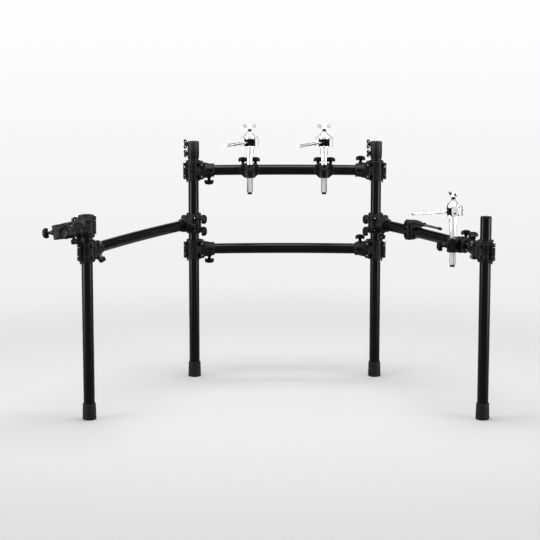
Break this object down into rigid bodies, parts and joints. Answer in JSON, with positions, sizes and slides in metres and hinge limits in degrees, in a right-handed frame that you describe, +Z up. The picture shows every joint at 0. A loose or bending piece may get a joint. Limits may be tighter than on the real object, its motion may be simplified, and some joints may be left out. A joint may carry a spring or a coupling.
{
  "type": "drum rack frame",
  "caption": "Floor rack of bowed tubes and cast clamps with swinging side wings, chrome rod holders for drum pads, an accessory arm and a module mount.",
  "frame": {"origin": "middle of the rack's outer box, on the floor", "axes": "+X to the right as seen from the front, +Y away from the front, +Z up"},
  "size_m": [1.499, 0.828, 0.9463],
  "materials": {
    "gloss_black_tube": "gloss",
    "black_casting": "satin",
    "black_plastic": "matte",
    "black_rubber": "matte",
    "chrome_plate": "polished",
    "bright_steel": "satin"
  },
  "bodies": {
    "rear_frame": {"rear_post_left": "gloss_black_tube", "rear_post_right": "gloss_black_tube", "rear_foot_left": "black_rubber", "rear_foot_right": "black_rubber", "rod_collar_left": "black_casting", "rod_collar_right": "black_casting", "upper_left_clamp": "black_casting", "upper_left_jaw": "black_casting", "upper_right_clamp": "black_casting", "upper_right_jaw": "black_casting", "lower_left_clamp": "black_casting", "lower_left_jaw": "black_casting", "lower_right_clamp": "black_casting", "lower_right_jaw": "black_casting", "upper_rear_pipe": "gloss_black_tube", "lower_rear_pipe": "gloss_black_tube"},
    "left_wing": {"side_left_clamp": "black_casting", "side_left_jaw": "black_casting", "side_pipe_left": "gloss_black_tube", "front_left_clamp": "black_casting", "front_left_jaw": "black_casting"},
    "left_post": {"front_post_left": "gloss_black_tube", "front_foot_left": "black_rubber"},
    "top_arm": {"top_clamp": "black_casting", "top_jaw": "black_casting", "stub_pipe": "gloss_black_tube"},
    "accessory_holder": {"accessory_clamp": "black_casting", "accessory_grip": "black_casting"},
    "accessory_knob": {"accessory_lock": "black_plastic"},
    "right_wing": {"side_right_clamp": "black_casting", "side_right_jaw": "black_casting", "side_pipe_right": "gloss_black_tube", "front_right_clamp": "black_casting", "front_right_jaw": "black_casting"},
    "right_post": {"front_post_right": "gloss_black_tube", "front_foot_right": "black_rubber", "front_post_cap": "black_plastic"},
    "module_mount": {"module_clamp": "black_casting", "module_arm": "bright_steel"},
    "holder_1": {"holder_clamp_1": "black_casting", "holder_grip_1": "black_casting"},
    "holder_knob_1": {"holder_lock_1": "black_plastic"},
    "rod_1": {"pad_rod_1": "chrome_plate"},
    "mount_1": {"pad_mount_1": "chrome_plate"},
    "arm_1": {"pad_arm_1": "chrome_plate"},
    "nut_1": {"wing_nut_1": "chrome_plate"},
    "holder_2": {"holder_clamp_2": "black_casting", "holder_grip_2": "black_casting"},
    "holder_knob_2": {"holder_lock_2": "black_plastic"},
    "rod_2": {"pad_rod_2": "chrome_plate"},
    "mount_2": {"pad_mount_2": "chrome_plate"},
    "arm_2": {"pad_arm_2": "chrome_plate"},
    "nut_2": {"wing_nut_2": "chrome_plate"},
    "holder_3": {"holder_clamp_3": "black_casting", "holder_grip_3": "black_casting"},
    "holder_knob_3": {"holder_lock_3": "black_plastic"},
    "rod_3": {"pad_rod_3": "chrome_plate"},
    "mount_3": {"pad_mount_3": "chrome_plate"},
    "arm_3": {"pad_arm_3": "chrome_plate"},
    "nut_3": {"wing_nut_3": "chrome_plate"}
  },
  "joints": [
    {"name": "left_wing_swing", "type": "hinge", "parent": "rear_frame", "child": "left_wing", "pos_m": [-0.28018, 0.35981, 0.577], "axis": [0, 0, 1], "range_deg": [-60, 40]},
    {"name": "left_post_height", "type": "slide", "parent": "left_wing", "child": "left_post", "axis": [0, 0, 1], "range_m": [0, 0.06]},
    {"name": "top_arm_swivel", "type": "hinge", "parent": "left_post", "child": "top_arm", "pos_m": [-0.61018, -0.26019, 0.6606], "axis": [0, 0, 1], "range_deg": [-60, 45]},
    {"name": "accessory_turn", "type": "hinge", "parent": "top_arm", "child": "accessory_holder", "pos_m": [-0.65643, -0.36395, 0.6606], "axis": [-0.4071, -0.9134, 0], "range_deg": [-45, 45]},
    {"name": "accessory_lock_turn", "type": "hinge", "parent": "accessory_holder", "child": "accessory_knob", "pos_m": [-0.73762, -0.32776, 0.64652], "axis": [-0.9021, 0.4021, -0.1564], "continuous": true},
    {"name": "right_wing_swing", "type": "hinge", "parent": "rear_frame", "child": "right_wing", "pos_m": [0.38982, 0.35981, 0.577], "axis": [0, 0, -1], "range_deg": [-60, 40]},
    {"name": "right_post_height", "type": "slide", "parent": "right_wing", "child": "right_post", "axis": [0, 0, 1], "range_m": [-0.06, 0.06]},
    {"name": "module_mount_turn", "type": "hinge", "parent": "right_wing", "child": "module_mount", "pos_m": [0.50947, 0.16093, 0.577], "axis": [0.4888, -0.8724, 0], "range_deg": [-45, 45]},
    {"name": "holder_turn_1", "type": "hinge", "parent": "rear_frame", "child": "holder_1", "pos_m": [-0.07489, 0.376, 0.772], "axis": [0.999, 0.0455, 0], "range_deg": [-30, 30]},
    {"name": "holder_lock_turn_1", "type": "hinge", "parent": "holder_1", "child": "holder_knob_1", "pos_m": [-0.07079, 0.28609, 0.772], "axis": [0.0455, -0.999, 0], "continuous": true},
    {"name": "rod_height_1", "type": "slide", "parent": "holder_1", "child": "rod_1", "axis": [0, 0, 1], "range_m": [-0.038, 0.05]},
    {"name": "mount_turn_1", "type": "hinge", "parent": "rod_1", "child": "mount_1", "pos_m": [-0.07307, 0.33604, 0.8603], "axis": [0, 0, 1], "range_deg": [-90, 90]},
    {"name": "arm_tilt_1", "type": "hinge", "parent": "mount_1", "child": "arm_1", "pos_m": [-0.07307, 0.33604, 0.8788], "axis": [0.8349, -0.5504, 0], "range_deg": [-15, 15]},
    {"name": "wing_nut_turn_1", "type": "hinge", "parent": "mount_1", "child": "nut_1", "pos_m": [-0.07307, 0.33604, 0.9358], "axis": [0, 0, 1], "continuous": true},
    {"name": "holder_turn_2", "type": "hinge", "parent": "rear_frame", "child": "holder_2", "pos_m": [0.20022, 0.37529, 0.772], "axis": [0.999, -0.0455, 0], "range_deg": [-30, 30]},
    {"name": "holder_lock_turn_2", "type": "hinge", "parent": "holder_2", "child": "holder_knob_2", "pos_m": [0.19612, 0.28538, 0.772], "axis": [-0.0455, -0.999, 0], "continuous": true},
    {"name": "rod_height_2", "type": "slide", "parent": "holder_2", "child": "rod_2", "axis": [0, 0, 1], "range_m": [-0.038, 0.05]},
    {"name": "mount_turn_2", "type": "hinge", "parent": "rod_2", "child": "mount_2", "pos_m": [0.19839, 0.33533, 0.8603], "axis": [0, 0, 1], "range_deg": [-90, 90]},
    {"name": "arm_tilt_2", "type": "hinge", "parent": "mount_2", "child": "arm_2", "pos_m": [0.19839, 0.33533, 0.8788], "axis": [0.7814, -0.624, 0], "range_deg": [-16, 14]},
    {"name": "wing_nut_turn_2", "type": "hinge", "parent": "mount_2", "child": "nut_2", "pos_m": [0.19839, 0.33533, 0.9358], "axis": [0, 0, 1], "continuous": true},
    {"name": "holder_turn_3", "type": "hinge", "parent": "right_wing", "child": "holder_3", "pos_m": [0.65843, -0.12579, 0.577], "axis": [0.4314, -0.9022, 0], "range_deg": [-30, 30]},
    {"name": "holder_lock_turn_3", "type": "hinge", "parent": "holder_3", "child": "holder_knob_3", "pos_m": [0.57723, -0.16461, 0.577], "axis": [-0.9022, -0.4314, 0], "continuous": true},
    {"name": "rod_height_3", "type": "slide", "parent": "holder_3", "child": "rod_3", "axis": [0, 0, 1], "range_m": [-0.048, 0.04]},
    {"name": "mount_turn_3", "type": "hinge", "parent": "rod_3", "child": "mount_3", "pos_m": [0.62234, -0.14304, 0.6753], "axis": [0, 0, 1], "range_deg": [-90, 90]},
    {"name": "arm_tilt_3", "type": "hinge", "parent": "mount_3", "child": "arm_3", "pos_m": [0.62234, -0.14304, 0.6938], "axis": [0.4314, -0.9022, 0], "range_deg": [-15, 15]},
    {"name": "wing_nut_turn_3", "type": "hinge", "parent": "mount_3", "child": "nut_3", "pos_m": [0.62234, -0.14304, 0.7508], "axis": [0, 0, 1], "continuous": true}
  ]
}
